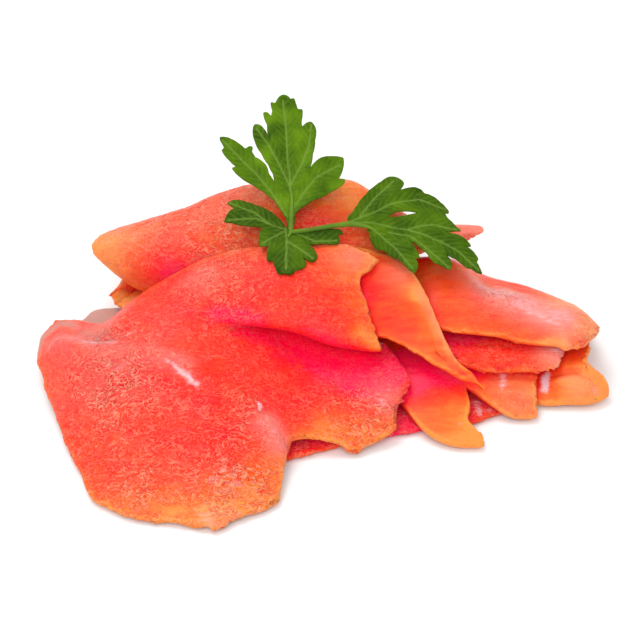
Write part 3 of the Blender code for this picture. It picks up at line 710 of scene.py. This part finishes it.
LEAVES = {
    "upper": dict(
        foot=(-8.9, 21, 38), ahead=(-0.05, 0.848, 0.53), side=(1, 0.05, 0), painted_blade_shade=0.0,
        outline=[
            (2, -0.8), (5, -1.2), (7.5, -2.5), (11.5, -4.5), (14.5, -8), (17, -11.5), (19, -14.5), (22.5, -17.5),
            (23, -16), (25, -18), (29, -20.5), (29.5, -19.5), (31, -20), (33.5, -21), (33.5, -19), (32.5, -17),
            (31, -15), (29, -13), (30, -11.5), (29.5, -10.5), (28, -11), (26, -10), (24.5, -8), (22.5, -6.5),
            (20, -5.9), (16.5, -4), (20, -4.7), (23, -6), (27, -8), (31.5, -10), (35, -10.5), (37.5, -10),
            (37.5, -8.5), (36.8, -7.6), (33, -5.6), (37, -5.9), (41.5, -7), (41.5, -5.5), (40, -4.5), (42, -4),
            (45, -4.5), (44.5, -3), (46.5, -2), (47.5, -0.5), (47, 1), (45.5, 2), (46, 3), (44, 3.5), (42, 4),
            (42, 5.5), (40.5, 5.5), (38, 5), (36, 5), (37.5, 6.5), (38, 8), (36.5, 9), (34.5, 9.5), (31.5, 9),
            (26.5, 8), (20.5, 6.5), (23, 8), (25, 10.5), (25.5, 13.5), (25, 17.5), (22.5, 17.5), (17.5, 15.5),
            (17.5, 17.5), (16.5, 17.5), (15, 16), (13.5, 13), (10.5, 6.5), (8.5, 3.5), (6.5, 1.5), (2, 0.8),
        ],
        veins=[
            [(0, 0), (11, 0.5), (17.5, 0.5), (26, 0), (34.5, 0), (45.5, -0.5)],
            [(5.5, -1), (13.5, -5), (20.5, -10), (25, -14), (32.5, -20)],
            [(7, 0.2), (13, 4), (18.5, 8.5), (23, 16.5)],
            [(15.5, 0.5), (24, -3), (30.5, -6), (36.5, -9.5)],
            [(16, 0.5), (23.5, 4.5), (30, 7), (37, 8)],
        ],
    ),
    "lower": dict(
        foot=(-8.9, 21, 38), ahead=(-0.1, -0.95, -0.3), side=(-1, 0, 0.05), painted_blade_shade=0.6,
        outline=[
            (-1, 0.5), (-2, -5), (-2.5, -9), (-3, -12.5), (-3, -15), (-1.5, -16), (-1, -14), (0, -15), (2, -15),
            (2.5, -13), (2.5, -10.5), (3.5, -5.5), (6, -8), (8.5, -9), (10.5, -8), (10, -6.5), (9, -4.5),
            (11, -6), (12.5, -5.5), (14, -3), (16, -1.5), (15.5, 0), (16, 2), (13, 3.5), (11, 4.5), (11.5, 6),
            (8.5, 6.5), (6, 6), (6.5, 9), (3, 9.5), (-1, 9), (-0.5, 12), (-0.5, 15), (-1.5, 18.5), (-1.5, 21),
            (-6, 19.5), (-7, 18), (-9, 21), (-10, 19.5), (-10.5, 17.5), (-10, 14.5), (-9, 11.5), (-7.5, 8),
            (-5.5, 5), (-3, 2.5),
        ],
        veins=[
            [(-2, 2), (3.5, 1), (8.5, 0.5), (14, 0)],
            [(-0.5, 0.5), (0.5, -3.5), (2, -7.5), (1, -14)],
            [(-1.5, 2.5), (-2.5, 6.5), (-4, 11), (-2.5, 19.5)],
            [(-0.5, 2), (2.5, 5.5), (5.5, 8.5)],
            [(3.5, 1), (6, -3.5), (9, -7.5)],
            [(-2.5, 6.5), (-6.5, 12.5), (-9, 20)],
        ],
    ),
    "right": dict(
        foot=(9.1, 24, 39.5), ahead=(0.93, -0.27, -0.2), side=(-0.25, -0.93, -0.3), painted_blade_shade=0.4,
        outline=[
            (-1.5, -1.5), (-0.5, -4.5), (0, -7.5), (1, -12), (2.5, -16.5), (4, -19.5), (5.5, -22), (7.5, -23),
            (9.5, -22.5), (11, -21.5), (10.5, -18), (12, -19.5), (14.5, -21), (16.5, -21), (18, -20), (21, -20),
            (23.5, -19), (27, -17), (27.5, -16), (26, -15.5), (27.5, -14), (31, -12), (33, -11), (31.5, -10.7),
            (27.5, -8.6), (31, -8.9), (33, -9), (35.5, -8), (37.5, -6.5), (35.5, -5.5), (37.5, -5.5), (41, -3),
            (40.5, -2), (42, -0.5), (43.5, 2), (39.5, 1), (39, 1.5), (35, 0), (30.5, -0.5), (32.5, 0.5),
            (34, 2.5), (34, 4), (32, 4), (29.5, 3.5), (29, 4), (25.5, 1), (23.5, 0), (21, -1), (18.5, -1.5),
            (20.5, 0), (22.5, 2), (24, 4), (22.5, 4.5), (24, 6), (24.5, 8), (24, 10), (19.5, 7.5), (18, 6.5),
            (17, 7), (12.5, 5), (12, 6), (10, 5.5), (8.5, 4), (7, 1.5), (5.5, -0.5), (4, -0.7), (1.5, -0.6),
        ],
        veins=[
            [(0, -1), (5.5, -7), (9, -11.5), (12.5, -14.5), (17, -17.5), (26, -17)],
            [(1.5, -1), (6.5, -3), (11.5, -4), (17, -5), (22, -5), (27.5, -4.5), (34.5, -3), (42, 0.5)],
            [(17, -5), (19.5, -7), (24.5, -10), (31.5, -11)],
            [(4.5, -1), (9.5, 0), (15, 2.5), (23, 8.5)],
            [(12, -2), (18.5, -3), (24, -1), (33, 3.5)],
            [(2, -4), (4, -12), (7.5, -21.5)],
        ],
        slit=[(10, -7), (12, -10), (15.5, -11.8), (18.5, -12.5), (16, -10.5), (13, -8.3)],
    ),
}


def closed_line(corners, bulge):
    """A closed line of short steps through the corners, with its sides bulging outwards."""
    places = [Vector((*corner, 0)) for corner in corners]
    line = []
    for corner, following in zip(places, places[1:] + places[:1]):
        along = following - corner
        out = Vector((along.y, -along.x, 0)) * bulge
        steps = max(2, round(along.length / BLADE_STEP))
        line += [corner + along * i / steps + out * math.sin(math.pi * i / steps) for i in range(steps)]
    return [(a + b * 2 + c) / 4 for a, b, c in zip(line[-1:] + line[:-1], line, line[1:] + line[:1])]


for name, leaf in LEAVES.items():
    print(f"{name} leaf: {len(leaf['outline'])} corners, {len(leaf['veins'])} veins")

# %% [markdown]
# ## Parsley: the blade
#
# The outline is filled, then cut by a fine grid of planes, which gives points inside it that can
# move. Each point knows how far it is from the nearest vein. The veins are pressed in a little
# and the blade swells between them. Where the blade would sink into the fish it is lifted, and
# the lift is shared out around that place, as a leaf bends and doesn't step. Solidify then gives
# it the thickness of a leaf.

# %% Flat blades with veins
VEIN_WIDTH = 0.32              # millimetres
SIDE_VEIN_GAP = 2.4
SIDE_VEIN_LEAN = 1.3


def flat_blade(leaf):
    bm = bmesh.new()
    for corners, bulge in ((leaf["outline"], BULGE), (leaf.get("slit", []), 0)):
        verts = [bm.verts.new(place) for place in closed_line(corners, bulge)]
        for i, vert in enumerate(verts):
            bm.edges.new((verts[i - 1], vert))
    bmesh.ops.triangle_fill(bm, edges=bm.edges[:], use_beauty=True, use_dissolve=False)
    for axis in (0, 1):
        values = [vert.co[axis] for vert in bm.verts]
        for step in range(math.ceil(min(values) / BLADE_STEP), math.ceil(max(values) / BLADE_STEP)):
            place, across = Vector((0, 0, 0)), Vector((0, 0, 0))
            place[axis], across[axis] = step * BLADE_STEP, 1
            geometry = bm.verts[:] + bm.edges[:] + bm.faces[:]
            bmesh.ops.bisect_plane(bm, geom=geometry, plane_co=place, plane_no=across, dist=0.06)
    bmesh.ops.triangulate(bm, faces=bm.faces[:])
    return bm


def vein_values(points, veins):
    """How strong the nearest vein is at each point, and how far the blade swells there."""
    nearest, along = np.full(len(points), np.inf), np.zeros(len(points))
    for vein in veins:
        passed = 0.0
        for a, b in zip(np.array(vein), np.array(vein)[1:]):
            length = np.linalg.norm(b - a)
            t = np.clip((points - a) @ (b - a) / length**2, 0, 1)
            away = np.linalg.norm(points - a - t[:, None] * (b - a), axis=1)
            closer = away < nearest
            nearest[closer], along[closer] = away[closer], passed + t[closer] * length
            passed += length
    main = np.exp(-((nearest / VEIN_WIDTH) ** 2))
    across = (along - nearest * SIDE_VEIN_LEAN) / SIDE_VEIN_GAP
    off = np.abs(across - np.round(across)) * SIDE_VEIN_GAP / math.hypot(1, SIDE_VEIN_LEAN)
    side = np.exp(-((off / (VEIN_WIDTH * 0.7)) ** 2)) * np.clip(1 - nearest / 6, 0, 1) * 0.4
    swell = (1 - np.exp(-nearest / 1.8)) * (1 - 0.35 * side)
    return np.maximum(main, side), swell


print("the veins are", VEIN_WIDTH * 2, "mm wide")

# %% Lay the blades on the pile
BLADE_THICKNESS = 0.4 * MM
SWELL = 0.55                   # millimetres, as are the next three
VEIN_DEPTH = 0.15
WAVE = 0.8
WAVE_LENGTH = 9.0
LEAF_CLEARANCE = 0.7 * MM      # from the fish to the middle of the blade
BENDING_ROUNDS = 120


def lifted(places, start, end):
    """How far each point is lifted so that the blade lies on the pile and bends smoothly."""
    above = Vector((0, 0, 1.0))
    needed = np.zeros(len(places))
    for i, place in enumerate(places):
        hit = pile.ray_cast(Vector((place.x, place.y, 0)) + above, -above)[0]
        if hit:
            needed[i] = max(0.0, hit.z + LEAF_CLEARANCE - place.z)
    lift = needed.copy()
    for _ in range(BENDING_ROUNDS):
        lift = np.maximum(needed, smoothed(lift, start, end, 1) * 0.995)
    return lift


def new_piece(name, bm, material):
    """A mesh object from the bmesh, in its place in the pile."""
    mesh = bpy.data.meshes.new(name)
    bm.to_mesh(mesh)
    bm.free()
    mesh.materials.append(material)
    mesh.shade_smooth()
    piece = bpy.data.objects.new(name, mesh)
    bpy.context.scene.collection.objects.link(piece)
    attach(piece, "root")
    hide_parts("parsley_sprig")
    return piece


def blade_piece(name, leaf, material):
    bm = flat_blade(leaf)
    vein, swell = vein_values(np.array([vert.co[:2] for vert in bm.verts]), leaf["veins"])
    ahead = Vector(leaf["ahead"]).normalized()
    side = (Vector(leaf["side"]) - Vector(leaf["side"]).project(ahead)).normalized()
    up = ahead.cross(side)
    up *= math.copysign(1, up.z)
    places = []
    for i, vert in enumerate(bm.verts):
        x, y, _ = vert.co
        raised = SWELL * swell[i] - VEIN_DEPTH * vein[i] + WAVE * noise.noise(vert.co / WAVE_LENGTH)
        places.append((Vector(leaf["foot"]) + ahead * x + side * y + up * raised) * MM)
    bm.edges.index_update()
    pairs = np.array([[vert.index for vert in edge.verts] for edge in bm.edges])
    start, end = np.concatenate([pairs[:, 0], pairs[:, 1]]), np.concatenate([pairs[:, 1], pairs[:, 0]])
    for vert, place, lift in zip(bm.verts, places, lifted(places, start, end)):
        vert.co = place + Vector((0, 0, lift))
    bmesh.ops.recalc_face_normals(bm, faces=bm.faces[:])
    piece = new_piece("parsley_" + name + "_leaf", bm, material)
    paint(piece.data, "vein", vein)
    paint(piece.data, "painted_blade_shade", np.full(len(vein), leaf["painted_blade_shade"]))
    body = piece.modifiers.new("thickness", "SOLIDIFY")
    body.thickness = BLADE_THICKNESS
    body.offset = 0
    print(f"{piece.name}: {len(piece.data.polygons)} faces")


# %% [markdown]
# ## Parsley: the leaf material
#
# A fresh leaf is a deep green with lighter veins, and it isn't even: the blade has paler and
# darker patches and a fine mottle. A little light passes through it. It has a soft wax shine.
# The lower and right blades are painted darker as a whole: painted shade.

# %% The leaf material
def leaf_material():
    material = bpy.data.materials.new("parsley_leaf")
    material.use_nodes = True
    tree = material.node_tree
    shader = tree.nodes["Principled BSDF"]
    patches = cloud(tree, 9 * MM, detail=3)
    colour = ramp(tree, patches, [(0.3, (0.026, 0.070, 0.001)), (0.5, (0.066, 0.150, 0.002)), (0.7, (0.125, 0.240, 0.004))])
    mottle = maths(tree, "MULTIPLY_ADD", cloud(tree, 1.1 * MM, detail=4), 3.0, -1.3, clamp=True)
    colour = mixed(tree, maths(tree, "MULTIPLY", mottle, 0.25), colour, (0.12, 0.23, 0.01, 1))
    # painted shade: the lower and right blades are darkened as a whole
    colour = mixed(tree, painted(tree, "painted_blade_shade"), colour, (0.30, 0.34, 0.35, 1), "MULTIPLY")
    colour = mixed(tree, maths(tree, "MULTIPLY", painted(tree, "vein"), 0.7), colour, (0.20, 0.33, 0.05, 1))
    tree.links.new(colour, shader.inputs["Base Color"])
    shader.inputs["Roughness"].default_value = 0.45
    shader.inputs["Specular IOR Level"].default_value = 0.04
    bump = node(tree, "ShaderNodeBump")
    bump.inputs["Strength"].default_value = 0.5
    bump.inputs["Distance"].default_value = 0.15 * MM
    tree.links.new(cloud(tree, 0.8 * MM, detail=3), bump.inputs["Height"])
    tree.links.new(bump.outputs["Normal"], shader.inputs["Normal"])
    shader.inputs["Subsurface Weight"].default_value = 0.1
    shader.inputs["Subsurface Radius"].default_value = (0.5, 1.0, 0.1)
    shader.inputs["Subsurface Scale"].default_value = 0.8 * MM
    return material


leaf_green = leaf_material()
print("leaf material:", len(leaf_green.node_tree.nodes), "nodes")
for name, leaf in LEAVES.items():
    blade_piece(name, leaf, leaf_green)

# %% [markdown]
# ## Parsley: the stem
#
# The leaf stalks are thin and grow wider where they turn into a blade. A closed circle is
# extruded from point to point along the path, and turned and sized at each. Subdivision
# Surface rounds the bends.

# %% Stems
STALK_SIDES = 10
STALK_PALENESS = 0.6
STALKS = [
    [
        ((-9.9, 18.6, 38.2), 0.5), ((-8.9, 21, 38.6), 0.7), ((-3, 22.0, 38.8), 0.7), ((4, 23.2, 39.4), 0.8),
        ((9.4, 23.6, 39.9), 1.0), ((13, 22.6, 39.9), 0.7), ((17, 21.4, 39.4), 0.25),
    ],
    [((-9.0, 20, 38.2), 0.6), ((-8.9, 23, 39.6), 0.9), ((-8.7, 27, 42.0), 0.7), ((-8.6, 33, 45.9), 0.25)],
]


def stalk(bm, path):
    """Adds a closed tube: a circle, extruded along a path of places in millimetres and radii."""
    places = [Vector(place) * MM for place, _ in path]
    for i, (_, radius) in enumerate(path):
        ahead = (places[min(i + 1, len(places) - 1)] - places[max(i - 1, 0)]).normalized()
        here = Matrix.LocRotScale(places[i], ahead.to_track_quat("Z", "Y"), Vector((radius, radius, radius)) * MM)
        if i == 0:
            ring = bmesh.ops.create_circle(bm, cap_ends=True, segments=STALK_SIDES, radius=1.0)["verts"]
            cap, change = ring[0].link_faces[0], here
        else:
            made = bmesh.ops.extrude_face_region(bm, geom=[cap])["geom"]
            ring = [item for item in made if isinstance(item, bmesh.types.BMVert)]
            cap = next(item for item in made if isinstance(item, bmesh.types.BMFace))
            change = here @ before.inverted()
        bmesh.ops.transform(bm, matrix=change, verts=ring)
        before = here


bm = bmesh.new()
for path in STALKS:
    stalk(bm, path)
bmesh.ops.recalc_face_normals(bm, faces=bm.faces[:])
stem = new_piece("parsley_stem", bm, leaf_green)
paint(stem.data, "vein", np.full(len(stem.data.vertices), STALK_PALENESS))
rounder = stem.modifiers.new("round", "SUBSURF")
rounder.levels = rounder.render_levels = 2
print(len(STALKS), "stalks in one piece")
